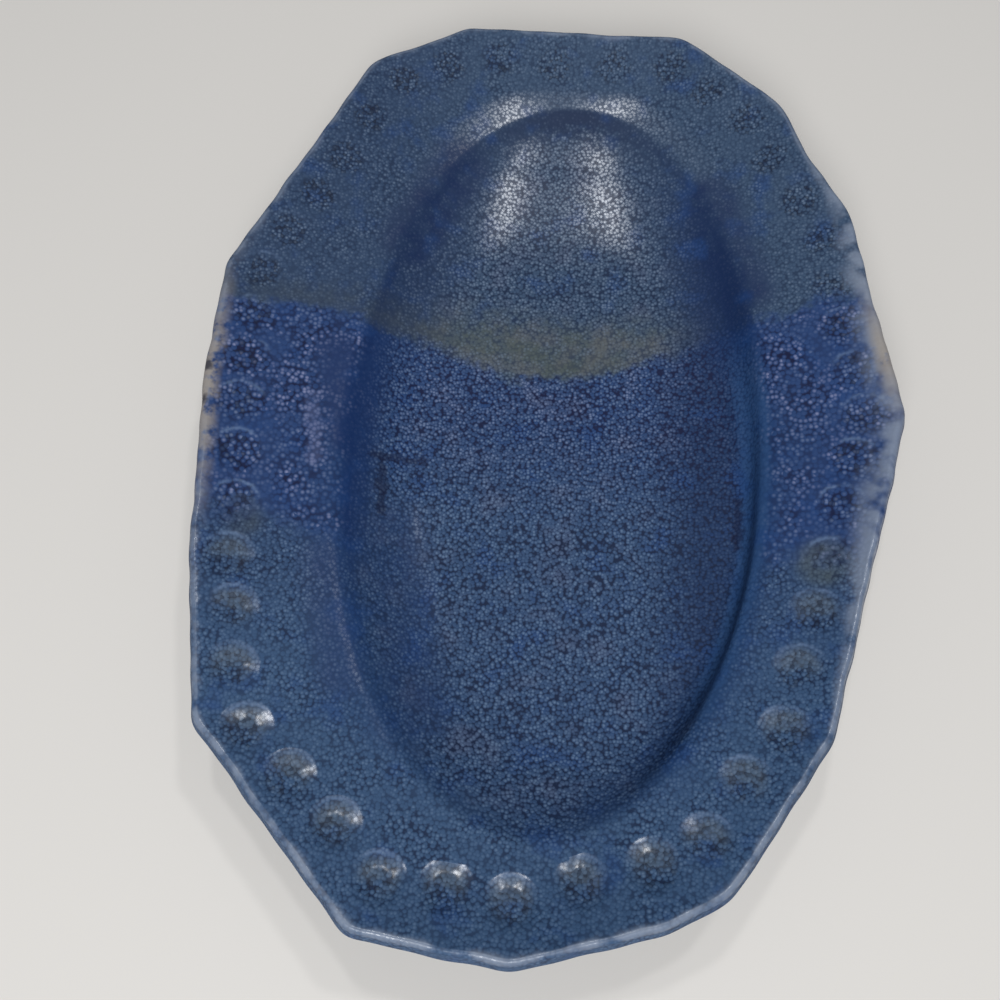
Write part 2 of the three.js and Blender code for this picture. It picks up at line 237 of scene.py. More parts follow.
def oval(inset, sunk, angles=column_angles):
    """Oval inside the lip by an inset, from the lip, where it has sunk by nought, to the floor, by one"""
    across = (LIP_HALF_WIDTH - inset) * np.cos(angles)
    along = (LIP_HALF_LENGTH - inset - END_WALL_DRAWN_OUT * sunk) * np.sin(angles)
    return well_middle(sunk, angles) + np.column_stack([across, along])


def spine():
    """Line along the middle of the floor"""
    along = SPINE_HALF * np.sin(column_angles)
    return well_middle(1, column_angles) + np.column_stack([np.zeros(COLUMNS), along])


# Section of the well's wall, from floor to lip, as inset, height, slope and how far it has sunk
def sunk_at(z):
    below_step = LIP_Z - LIP_STEP - z
    top = math.hypot(LIP_STEP, LIP_STEP_CURVE) - LIP_STEP
    bottom = math.hypot(WELL_DEPTH - LIP_STEP, LIP_STEP_CURVE) + WELL_DEPTH - LIP_STEP
    return (math.hypot(below_step, LIP_STEP_CURVE) + below_step - top) / (bottom - top)


def wall_section():
    roll_radius = LIP_CURVE_BELOW + SLAB_THICKNESS
    roll_z = LIP_Z - roll_radius * (math.cos(RIM_SLOPE) - math.cos(WALL_ANGLE))
    roll_inset = roll_radius * (math.sin(WALL_ANGLE) - math.sin(RIM_SLOPE))
    curve_rise = FLOOR_CURVE * (math.cos(FLOOR_TILT) - math.cos(WALL_ANGLE))
    curve_width = FLOOR_CURVE * (math.sin(WALL_ANGLE) - math.sin(FLOOR_TILT))
    floor_inset = roll_inset + (roll_z - FLOOR_Z - curve_rise) / math.tan(WALL_ANGLE) + curve_width
    section = []
    for slope in np.linspace(FLOOR_TILT, WALL_ANGLE, 13):
        inset = floor_inset - FLOOR_CURVE * (math.sin(slope) - math.sin(FLOOR_TILT))
        z = FLOOR_Z + FLOOR_CURVE * (math.cos(FLOOR_TILT) - math.cos(slope))
        section.append((inset, z, slope, sunk_at(z)))
    for slope in np.linspace(WALL_ANGLE, RIM_SLOPE, 9):
        inset = roll_radius * (math.sin(slope) - math.sin(RIM_SLOPE))
        z = LIP_Z - roll_radius * (math.cos(RIM_SLOPE) - math.cos(slope))
        section.append((inset, z, slope, sunk_at(z)))
    return section


section = wall_section()
FLOOR_INSET = section[0][0]
FOOT_OUTER = FLOOR_INSET + FOOT_INSET
FOOT_INNER = FOOT_OUTER + FOOT_WIDTH
SEAT_INSET = FOOT_INNER + SLIP_SPREAD + SEAT_LAND
FLOOR_HALF_LENGTH = LIP_HALF_LENGTH - FLOOR_INSET - END_WALL_DRAWN_OUT
SPINE_HALF = FLOOR_HALF_LENGTH - (LIP_HALF_WIDTH - FLOOR_INSET) / 2

# Skin of the clay: rows of points from the middle of the floor up over the rim and back underneath
skin_rows = []
from_edge = []
coarse_rows = []


def add_row(plan, z, coarse, inside_edge=WELL_FROM_EDGE):
    height = np.broadcast_to(np.asarray(z, float), COLUMNS)
    if coarse:
        coarse_rows.append(len(skin_rows))
    skin_rows.append(np.column_stack([plan, height]))
    from_edge.append(np.broadcast_to(np.asarray(inside_edge, float), COLUMNS))


def add_floor_rows():
    border = oval(FLOOR_INSET, 1)
    reach = np.linalg.norm(spine() - border, axis=1) / FLOOR_SAG_REACH
    for i, step in enumerate(np.linspace(1, 0, 12, endpoint=False)):
        level = 1 - np.minimum(1, step * reach)
        z = FLOOR_Z - FLOOR_SAG * (1 - level * level)
        add_row(border * (1 - step) + spine() * step, z, i % 4 == 0)


def add_wall_rows():
    for i, (inset, z, _, sunk) in enumerate(section):
        add_row(oval(inset, sunk), z, i % 2 == 0 or i == len(section) - 1)


def further_in(direction):
    return STAMP_FURTHER_IN * np.maximum(0, -direction[:, 1]) ** 2


def add_rim_rows():
    lip = oval(0, 0)
    arris = edge_plan - edge_outward * EDGE_OVERHANG
    width = np.linalg.norm(arris - lip, axis=1)
    band = STAMP_BAND + further_in(edge_outward)
    rise = RIM_RISE - rim_dip
    far_hollow = np.clip((rise - width * math.tan(FAR_RIM_SLOPE)) / 4, 0, RIM_HOLLOW)
    hollow = RIM_HOLLOW + (far_hollow - RIM_HOLLOW) * smooth(20, 90, lip[:, 1])

    def add(inset, coarse):
        up = 1 - inset / width
        plan = lip + (arris - lip) * up[:, None]
        z = LIP_Z + rise * up - 4 * hollow * up * (1 - up)
        add_row(plan, z, coarse, inset)

    for i, step in enumerate(np.linspace(0, 1, 9)[1:-1]):
        add(width + (band - width) * step, i % 3 == 0)
    for i, inset in enumerate(np.linspace(band, UPPER_ARRIS * math.cos(RIM_SLOPE), 31)):
        add(inset, i % 4 == 0)
    return arris


def edge_section():
    """Cut edge, as distances along the rim's slope and down the cut"""
    places = []
    for turn in np.linspace(0, math.pi / 2, 6)[1:]:
        places.append((UPPER_ARRIS * (math.sin(turn) - 1), UPPER_ARRIS * (1 - math.cos(turn))))
    for down in np.linspace(UPPER_ARRIS, SLAB_THICKNESS - LOWER_ARRIS, 6)[1:]:
        places.append((0, down))
    for turn in np.linspace(0, math.pi / 2, 6)[1:]:
        down = SLAB_THICKNESS - LOWER_ARRIS * (1 - math.sin(turn))
        places.append((LOWER_ARRIS * (math.cos(turn) - 1), down))
    return places


def add_edge_rows(arris):
    for i, (along, down) in enumerate(edge_section()):
        outward = along * math.cos(RIM_SLOPE) + down * math.sin(RIM_SLOPE)
        z = EDGE_Z + along * math.sin(RIM_SLOPE) - down * math.cos(RIM_SLOPE) - rim_dip
        plan = arris + edge_outward * outward
        add_row(plan, z, i % 2 == 0, -down)


def add_under_rows():
    outer = skin_rows[-1]
    lip_plan = oval(-SLAB_THICKNESS * math.sin(RIM_SLOPE), 0)
    lip_z = LIP_Z - SLAB_THICKNESS * math.cos(RIM_SLOPE)
    for i, step in enumerate(np.linspace(0, 1, 13)[1:-1]):
        plan = outer[:, :2] * (1 - step) + lip_plan * step
        add_row(plan, outer[:, 2] * (1 - step) + lip_z * step, i % 2 == 1, -SLAB_THICKNESS)
    wax_row = None
    for inset, z, slope, sunk in reversed(section):
        plan = oval(inset - SLAB_THICKNESS * math.sin(slope), sunk)
        add_row(plan, z - SLAB_THICKNESS * math.cos(slope), True, -SLAB_THICKNESS)
        if wax_row is None and slope >= WALL_ANGLE:
            wax_row = len(skin_rows) - 1
    add_row(oval(FLOOR_INSET + 1, 1), SEAT_Z, True, -SLAB_THICKNESS)
    add_row(oval(SEAT_INSET, 1), SEAT_Z, True, -SLAB_THICKNESS)
    for step in np.linspace(0, 1, 5)[1:]:
        plan = oval(SEAT_INSET, 1) * (1 - step) + spine() * step
        add_row(plan, SEAT_Z - SEAT_SAG * smooth(0, 1, step), True, -SLAB_THICKNESS)
    return wax_row


add_floor_rows()
add_wall_rows()
rim_arris = add_rim_rows()
add_edge_rows(rim_arris)
WAX_ROW = add_under_rows()
skin = np.stack(skin_rows)
from_edge = np.stack(from_edge)
across_rows = np.gradient(skin, axis=0)
across_columns = np.roll(skin, -1, axis=1) - np.roll(skin, 1, axis=1)
outward = unit(np.cross(across_rows, across_columns))
outward[0] = (0, 0, 1)
outward[-1] = (0, 0, -1)
steepness = np.arccos(np.clip(outward[:, :, 2], -1, 1)) / WALL_ANGLE


# Stamps: a dished impression with a low boss and petals round it, and a soft raised border
def stamp_centres():
    """Places of the stamps in plan, and how far each of them belongs to the near end"""
    middle = (np.arange(STAMPS) + 0.5) / STAMPS
    plan = round_edge(edge_distance(middle), corners, CORNER_SOFTENING)
    direction = unit(round_edge(edge_distance(middle), corner_outward, CORNER_SOFTENING))
    astray = chance.uniform(-STAMP_ASTRAY, STAMP_ASTRAY, (STAMPS, 2))
    to_near = -direction[:, 1]
    on_near_left = smooth(0.3, 0.55, to_near) * (1 - smooth(0.6, 0.9, to_near)) * (plan[:, 0] < 0)
    inset = STAMP_ROW + further_in(direction) - STAMP_FURTHER_OUT * on_near_left
    return plan - direction * inset[:, None] + astray, smooth(0.6, 0.95, to_near)


def stamp_relief(ratio, angle, at_near_end):
    """Height in a stamp: a cone along the sides and a cup at the near end, with boss, petals and border"""
    cone = 1 - np.clip((ratio - 0.3) / 0.8, 0, 1)
    cup = 1 - 0.7 * np.clip((ratio - 0.55) / 0.55, 0, 1) - 0.3 * smooth(0.45, 1.2, ratio)
    dish = cone + (cup - cone) * at_near_end
    boss = STAMP_BOSS * np.exp(-((ratio / STAMP_BOSS_REACH) ** 2))
    ring = smooth(0.22, 0.4, ratio) * (1 - smooth(0.6, 0.82, ratio))
    petals = STAMP_PETAL_HEIGHT * ring * np.maximum(0, np.cos(STAMP_PETALS * angle))
    border = STAMP_BORDER * np.exp(-(((ratio - STAMP_BORDER_AT) / STAMP_BORDER_REACH) ** 2))
    return boss + petals + border - STAMP_DEPTH * dish


def press_stamps():
    """Relief of the stamps, nearness to the nearest one, and which way that point lies from its middle"""
    centres, at_near_end = stamp_centres()
    twist = chance.uniform(0, TURN, STAMPS)
    firmness = smooth(FAINT_STAMPS_FROM, FIRM_STAMPS_FROM, -centres[:, 1])
    force = chance.uniform(LEAST_FORCE, MOST_FORCE, STAMPS) * (FAINT_FORCE + (1 - FAINT_FORCE) * firmness)
    force = force * (1 - (1 - LIGHT_FORCE) * smooth(0, 60, centres[:, 0]) * (1 - at_near_end))
    cells = np.arange(COLUMNS) // FINE
    radius = STAMP_DIAMETER / 2
    pressed = np.zeros(skin.shape[:2])
    nearness = np.full(skin.shape[:2], FAR_FROM_STAMPS)
    toward_far_end = np.zeros(skin.shape[:2])
    on_rim = (from_edge < STAMP_BAND + STAMP_FURTHER_IN + 3) & (from_edge > 0)
    for neighbour in (-1, 0, 1):
        cell = (cells + neighbour) % STAMPS
        arm = skin[:, :, :2] - centres[cell]
        ratio = np.linalg.norm(arm, axis=2) / radius
        angle = np.arctan2(arm[:, :, 1], arm[:, :, 0]) + twist[cell]
        depth = force[cell] * stamp_relief(ratio, angle, at_near_end[cell])
        near = on_rim & (ratio < STAMP_REACH)
        pressed = np.where(near & (np.abs(depth) > np.abs(pressed)), depth, pressed)
        nearest = on_rim & (ratio < nearness)
        far_share = arm[:, :, 1] / np.maximum(radius * ratio, 0.1)
        toward_far_end = np.where(nearest, far_share, toward_far_end)
        nearness = np.where(nearest, ratio, nearness)
    return pressed, nearness, toward_far_end


relief, stamp_nearness, stamp_far_side = press_stamps()


def lowest_around(values):
    low = values.copy()
    for rows in range(-COARSE, COARSE + 1):
        shifted = np.roll(values, rows, axis=0)
        for columns in range(-COARSE, COARSE + 1):
            low = np.minimum(low, np.roll(shifted, columns, axis=1))
    return low


clay_relief = lowest_around(np.minimum(relief, 0))


# Coats of glaze
def coat_columns(cells):
    first, count = cells
    return np.arange(first * FINE, (first + count) * FINE + 1) % COLUMNS


def coat_lift(cells, border_step):
    """Thickness of a coat over the whole skin, running out at its borders"""
    count = cells[1]
    into = np.full(COLUMNS, -1.0)
    steps = np.arange(count * FINE + 1)
    into[coat_columns(cells)] = np.minimum(steps, count * FINE - steps)
    rows = np.arange(len(skin))
    rising = np.where(into > 0, border_step + (1 - border_step) * smooth(0, COAT_RUNS_OUT_OVER, into), 0)
    return GLAZE * rising[None, :] * smooth(0, 3, WAX_ROW - rows)[:, None]


first_lift = coat_lift(FIRST_COAT_CELLS, 0)
second_lift = coat_lift(SECOND_COAT_CELLS, COAT_STEP)


def surface(lift):
    return skin + outward * lift[:, :, None]


def grid_faces(quads, cuts):
    """Faces of a grid of quads, of which a few are cut in two from their first corner or their second"""
    width = quads.shape[1]
    faces = quads.reshape(-1, 4).tolist()
    for (row, column), corner in cuts.items():
        place = row * width + column
        a, b, c, d = faces[place]
        if corner == 0:
            faces[place] = [a, b, c]
            faces.append([a, c, d])
        else:
            faces[place] = [a, b, d]
            faces.append([b, c, d])
    return faces


def new_piece(name, points, faces, attributes):
    mesh = bpy.data.meshes.new(name)
    mesh.from_pydata((points * MM).tolist(), [], faces)
    for label, values in attributes.items():
        attribute = mesh.attributes.new(label, "FLOAT", "POINT")
        attribute.data.foreach_set("value", np.asarray(values, np.float32))
    mesh.shade_smooth()
    mesh.set_sharp_from_angle(angle=SHARP_EDGE)
    mesh.validate()
    piece = bpy.data.objects.new(name, mesh)
    bpy.context.scene.collection.objects.link(piece)
    return piece


def glaze_coat(name, cells, outer_lift, inner_lift):
    """Closed sheet of glaze: a fine outer face, and a plainer inner face that meets it at the borders"""
    columns = coat_columns(cells)
    last = len(columns) - 1
    half = last // 2
    fold = np.minimum(np.arange(last + 1), last - np.arange(last + 1))
    outer = surface(outer_lift)[: WAX_ROW + 1, columns]
    outer[:, [0, last]] -= outward[: WAX_ROW + 1, columns[[0, last]]] * GLAZE_TUCK
    outer[WAX_ROW] -= outward[WAX_ROW, columns] * WAX_TUCK
    inner = surface(inner_lift + clay_relief)[: WAX_ROW + 1, columns]
    index = np.empty(outer.shape[:2], int)
    index[0] = fold
    index[1:] = half + 1 + np.arange(WAX_ROW * (last + 1)).reshape(WAX_ROW, last + 1)
    points = [outer[0, : half + 1], outer[1:].reshape(-1, 3)]
    sources = [(0, columns[: half + 1])]
    sources += [(row, columns) for row in range(1, WAX_ROW + 1)]
    quads = np.stack([index[:-1, :-1], index[1:, :-1], index[1:, 1:], index[:-1, 1:]], axis=-1)
    cuts = {(0, half - 1): 1, (0, half): 0, (WAX_ROW - 1, 0): 1, (WAX_ROW - 1, last - 1): 0}
    faces = grid_faces(quads, cuts)

    rows = [row for row in coarse_rows if row <= WAX_ROW]
    steps = list(range(0, last + 1, COARSE))
    inner_index = np.empty((len(rows), len(steps)), int)
    made = half + 1 + WAX_ROW * (last + 1)
    for i, row in enumerate(rows):
        for k, step in enumerate(steps):
            if step in (0, last) or row == WAX_ROW:
                inner_index[i, k] = index[row, step]
            elif row == 0 and step > half:
                inner_index[i, k] = inner_index[i, len(steps) - 1 - k]
            else:
                inner_index[i, k] = made
                made += 1
                points.append(inner[row, step][None])
                sources.append((row, columns[step : step + 1]))
    for i in range(len(rows) - 1):
        top, bottom = rows[i], rows[i + 1]
        for k in range(len(steps) - 1):
            left, right = steps[k], steps[k + 1]
            down = inner_index[i : i + 2, k].tolist()
            along = inner_index[i + 1, k : k + 2].tolist()
            up = inner_index[i : i + 2, k + 1].tolist()
            if left == 0:
                down = index[top : bottom + 1, 0].tolist()
            if bottom == WAX_ROW:
                along = index[WAX_ROW, left : right + 1].tolist()
            if right == last:
                up = index[top : bottom + 1, last].tolist()
            loop = down[:-1] + along[:-1] + up[::-1]
            faces.append(loop[::-1])

    def gather(values):
        return np.concatenate([values[row, picked] for row, picked in sources])

    return new_piece(name, np.concatenate(points), faces, {
        "stamp": gather(stamp_nearness),
        "stamp_far_side": gather(stamp_far_side),
        "edge": gather(from_edge),
        "steep": gather(steepness),
    })


def clay_slab(name):
    """Closed slab of clay, plainer than the glaze that covers most of it"""
    steps = np.arange(0, COLUMNS, COARSE)
    count = len(steps)
    points = surface(clay_relief)[coarse_rows][:, steps]
    index = np.arange(points.shape[0] * count).reshape(points.shape[0], count)
    mirrored = (count // 2 - np.arange(count)) % count
    on_left = np.cos(column_angles[steps]) < -1e-9
    for row in (0, -1):
        index[row] = np.where(on_left, index[row][mirrored], index[row])
    after = np.roll(index, -1, axis=1)
    quads = np.stack([index[:-1], index[1:], after[1:], after[:-1]], axis=-1)
    used = np.unique(quads)
    renumber = np.full(points.shape[0] * count, -1)
    renumber[used] = np.arange(len(used))
    last = len(quads) - 1
    cuts = {}
    for fold in (count // 4, 3 * count // 4):
        cuts.update({(0, fold - 1): 1, (0, fold): 0})
        cuts.update({(last, fold - 1): 0, (last, fold): 1})
    return new_piece(name, points.reshape(-1, 3)[used], grid_faces(renumber[quads], cuts), {})


def oval_ring(name, rows):
    """Ring of oval section rows, given from the top inside corner round to the outside and under"""
    angles = evenly_round(COLUMNS // COARSE)
    count = len(angles)
    points = []
    for inset, z in rows:
        points.append(np.column_stack([oval(inset, 1, angles), np.full(count, float(z))]))
    index = np.arange(len(rows) * count).reshape(len(rows), count)
    under = np.roll(index, -1, axis=0)
    quads = np.stack([index, under, np.roll(under, -1, axis=1), np.roll(index, -1, axis=1)], axis=-1)
    return new_piece(name, np.concatenate(points), quads.reshape(-1, 4).tolist(), {})


def foot_ring(name):
    ring_share = np.arange(COLUMNS // COARSE) / (COLUMNS // COARSE)
    pinch = FOOT_PINCH + FOOT_PINCH * hand_wave(ring_share, [9, 14, 23, 37])

    def pinched(z):
        return pinch * math.sin(math.pi * (z - FOOT_CHAMFER) / (FOOT_HEIGHT - FOOT_CHAMFER))

    def rounded(turn):
        return FOOT_CHAMFER * (1 - math.cos(turn)), FOOT_CHAMFER * (1 - math.sin(turn))

    rows = [(FOOT_INNER, FOOT_HEIGHT)]
    rows.append(((FOOT_INNER + FOOT_OUTER) / 2, FOOT_HEIGHT))
    rows.append((FOOT_OUTER, FOOT_HEIGHT))
    for z in np.linspace(FOOT_HEIGHT, FOOT_CHAMFER, 6)[1:]:
        rows.append((FOOT_OUTER + pinched(z), z))
    for turn in np.linspace(0, math.pi / 2, 5)[1:]:
        inward, z = rounded(turn)
        rows.append((FOOT_OUTER + inward, z))
    for turn in np.linspace(math.pi / 2, 0, 5):
        inward, z = rounded(turn)
        rows.append((FOOT_INNER - inward, z))
    for z in np.linspace(FOOT_CHAMFER, FOOT_HEIGHT, 6)[1:-1]:
        rows.append((FOOT_INNER - pinched(z), z))
    return oval_ring(name, rows)


def foot_slip(name):
    """Slip between slab and foot, squeezed out unevenly on both sides"""
    ring_share = np.arange(COLUMNS // COARSE) / (COLUMNS // COARSE)
    outer_squeeze = SLIP_SPREAD * (0.7 + 0.3 * hand_wave(ring_share, [11, 19, 31, 53]))
    inner_squeeze = SLIP_SPREAD * (0.7 + 0.3 * hand_wave(ring_share, [7, 17, 29, 47]))
    low = FOOT_HEIGHT + SLIP_LIFT
    middle = (FOOT_HEIGHT + SEAT_Z) / 2
    return oval_ring(name, [
        (FOOT_INNER + inner_squeeze, SEAT_Z),
        (FOOT_OUTER - outer_squeeze, SEAT_Z),
        (FOOT_OUTER - outer_squeeze * 0.8, middle),
        (FOOT_OUTER - outer_squeeze * 0.2, low),
        (FOOT_OUTER, FOOT_HEIGHT),
        (FOOT_INNER, FOOT_HEIGHT),
        (FOOT_INNER + inner_squeeze * 0.2, low),
        (FOOT_INNER + inner_squeeze * 0.8, middle),
    ])


pieces = {
    "slumped_clay_slab": clay_slab("slumped_clay_slab"),
    "coiled_foot_ring": foot_ring("coiled_foot_ring"),
    "foot_joining_slip": foot_slip("foot_joining_slip"),
    "far_glaze_coat": glaze_coat("far_glaze_coat", FIRST_COAT_CELLS, first_lift + relief, 0 * first_lift),
    "near_glaze_coat": glaze_coat(
        "near_glaze_coat", SECOND_COAT_CELLS, first_lift + second_lift + relief, first_lift
    ),
}


# Materials
class Socket:
    """A value or colour that changes over a surface, and on which the signs of arithmetic work"""

    def __init__(self, tree, link=None):
        self.tree = tree
        self.link = link

    def add(self, kind, settings, inputs, output=0):
        node = self.tree.nodes.new(kind)
        for name, value in settings.items():
            setattr(node, name, value)
        for name, value in inputs.items():
            if isinstance(value, Socket):
                self.tree.links.new(value.link, node.inputs[name])
            else:
                node.inputs[name].default_value = value
        return Socket(self.tree, node.outputs[output])

    def math(self, operation, *values):
        return self.add("ShaderNodeMath", {"operation": operation}, dict(enumerate(values)))

    def __add__(self, other):
        return self.math("ADD", self, other)

    def __radd__(self, other):
        return self.math("ADD", other, self)

    def __sub__(self, other):
        return self.math("SUBTRACT", self, other)

    def __rsub__(self, other):
        return self.math("SUBTRACT", other, self)

    def __mul__(self, other):
        return self.math("MULTIPLY", self, other)

    def __rmul__(self, other):
        return self.math("MULTIPLY", other, self)

    def __truediv__(self, other):
        return self.math("DIVIDE", self, other)

    def __pow__(self, other):
        return self.math("POWER", self, other)

    def lower(self, other):
        return self.math("MINIMUM", self, other)

    def higher(self, other):
        return self.math("MAXIMUM", self, other)

    def hill(self, middle, reach):
        """One at the middle, falling away over the reach on both sides"""
        away = (self - middle) / reach
        return self.math("EXPONENT", away * away * -1)

    def rise(self, low, high):
        """Nought below the low value and one above the high one, smoothly"""
        settings = {"interpolation_type": "SMOOTHSTEP"}
        return self.add("ShaderNodeMapRange", settings, {"Value": self, "From Min": low, "From Max": high})

    def fall(self, low, high):
        return 1 - self.rise(low, high)

    def mix(self, other, factor):
        """This colour, with the other laid over it"""
        return self.add("ShaderNodeMix", {"data_type": "RGBA"}, {0: factor, 6: self, 7: other}, 2)

    def colour(self, red, green, blue):
        return self.add("ShaderNodeRGB", {}, {}).paint(red, green, blue)

    def paint(self, red, green, blue):
        self.link.default_value = seen(red, green, blue)
        return self

    def scaled(self, factor):
        inputs = {0: self, 1: (factor, factor, factor)}
        return self.add("ShaderNodeVectorMath", {"operation": "MULTIPLY"}, inputs)

    def part(self, number):
        return self.add("ShaderNodeSeparateXYZ", {}, {0: self}, number)

    def cloud(self, size, detail=2.0, rough=0.5):
        """Noise about a half, with lumps of that size in millimetres"""
        inputs = {"Vector": self, "Scale": 1 / size, "Detail": detail, "Roughness": rough}
        return self.add("ShaderNodeTexNoise", {}, inputs)

    def beads(self, size, output):
        """Cells of that size in millimetres: 0 gives distance from a cell's middle, 1 its chance colour"""
        return self.add("ShaderNodeTexVoronoi", {}, {"Vector": self, "Scale": 1 / size}, output)

    def away_from(self, x, y, z):
        return self.add("ShaderNodeVectorMath", {"operation": "DISTANCE"}, {0: self, 1: (x, y, z)}, 1)

    def away_from_line(self, start, end):
        """Distance in plan from a straight line between two points"""
        run = (end[0] - start[0], end[1] - start[1])
        span = run[0] * run[0] + run[1] * run[1]
        x = self.part(0) - start[0]
        y = self.part(1) - start[1]
        along = ((x * run[0] + y * run[1]) / span).higher(0).lower(1)
        aside = x - along * run[0]
        beside = y - along * run[1]
        return (aside * aside + beside * beside) ** 0.5


def seen(red, green, blue):
    """A colour as it is seen, in steps of 255, turned into shares of light"""
    parts = []
    for value in (red / 255, green / 255, blue / 255):
        parts.append(value / 12.92 if value <= 0.04045 else ((value + 0.055) / 1.055) ** 2.4)
    return (*parts, 1.0)


def new_material(name):
    material = bpy.data.materials.new(name)
    material.use_nodes = True
    tree = material.node_tree
    tree.nodes.clear()
    output = tree.nodes.new("ShaderNodeOutputMaterial")
    shader = tree.nodes.new("ShaderNodeBsdfPrincipled")
    tree.links.new(shader.outputs[0], output.inputs["Surface"])
    place = Socket(tree).add("ShaderNodeTexCoord", {}, {}, 3).scaled(1 / MM)
    return material, tree, shader, place


def finish_material(tree, shader, colour, roughness, height, bump_distance, bump_strength):
    bump = colour.add("ShaderNodeBump", {}, {
        "Strength": bump_strength, "Distance": bump_distance * MM, "Height": height,
    })
    tree.links.new(colour.link, shader.inputs["Base Color"])
    tree.links.new(roughness.link, shader.inputs["Roughness"])
    tree.links.new(bump.link, shader.inputs["Normal"])


def attribute(tree, name):
    return Socket(tree).add("ShaderNodeAttribute", {"attribute_name": name}, {}, 2)


# Colours of the glaze as they are seen, in steps of 255
GLAZE_COLOURS = {
    "near_coat": (46, 72, 108),
    "far_coat": (52, 74, 102),
    "near_rim": (56, 86, 120),
    "far_left": (36, 58, 92),
    "overlap": (34, 62, 110),
    "right_of_floor": (18, 46, 86),
    "inner_rim": (18, 54, 100),
    # Walls: deeper pooled glaze, darkened further with painted shade
    "near_wall_pooled_and_shaded": (8, 42, 92),
    "far_wall_pooled_and_shaded": (10, 36, 78),
    # Painted shade under the far lip
    "shade_under_far_lip": (22, 40, 72),
    # Painted light on the right wall
    "painted_light_on_right_wall": (44, 78, 124),
    "near_pit": (8, 28, 60),
    "far_pit": (16, 36, 66),
    "overlap_pit": (6, 18, 58),
    "near_tip": (98, 122, 152),
    "far_tip": (108, 126, 150),
    "overlap_tip": (138, 144, 180),
    "pale_blotch": (78, 86, 112),
    "deep_blotch": (24, 62, 118),
    "olive": (74, 84, 82),
    "olive_in_well": (86, 91, 92),
    "olive_on_left": (54, 66, 80),
    # Painted light in the near cups
    "painted_light_in_stamp": (86, 100, 114),
    "pooled_stamp": (8, 14, 34),
    # Glaze breaking, with a painted highlight, on the stamps' far borders
    "stamp_arc_breaking_and_highlight": (104, 128, 164),
    "pale_streak": (108, 116, 154),
    "crease": (4, 12, 46),
    "arris": (130, 142, 162),
    "bare_edge": (156, 148, 138),
    "nick": (16, 22, 46),
}

# Marks in the glaze. Smooth slicks: a line's ends in plan, inner and outer reach, and strength
SLICKS = [
    ((-85, 28), (-75, -8), 4, 12, 1),
    ((-62, 84), (-44, 124), 5, 18, 1),
    ((74, 70), (60, 112), 5, 18, 1),
    ((-58, -40), (-40, -108), 5, 20, 0.6),
    ((-77, -58), (-66, -98), 4, 14, 0.5),
]
# Olive patches on the rim: middle, inner and outer reach
OLIVE_PATCHES = [((101, -47, 38), 5, 13), ((-109, -47, 38), 4, 11)]
# Lines in plan, of the pale streak and of the creases, and places of the nicks in the edge
STREAK = ((-91, 8), (-87, -18))
CREASES = [((-66, -11), (-49, -9)), ((-64, -12), (-62, -33)), ((75, -18), (75, -36))]
NICKS = [(-130.5, 12, 45), (-130, -2, 44)]
# Sizes of the beads, finer in one coat than where the two overlap
BEAD = 1.3
OVERLAP_BEAD = 1.75
# Gloss of the satin glaze and of the glassy skin where it ran together
SATIN = 0.62
SATIN_LOSS = 0.2
GLAZE_SHEEN = 0.25
GLASSY_ROUGHNESS = 0.19


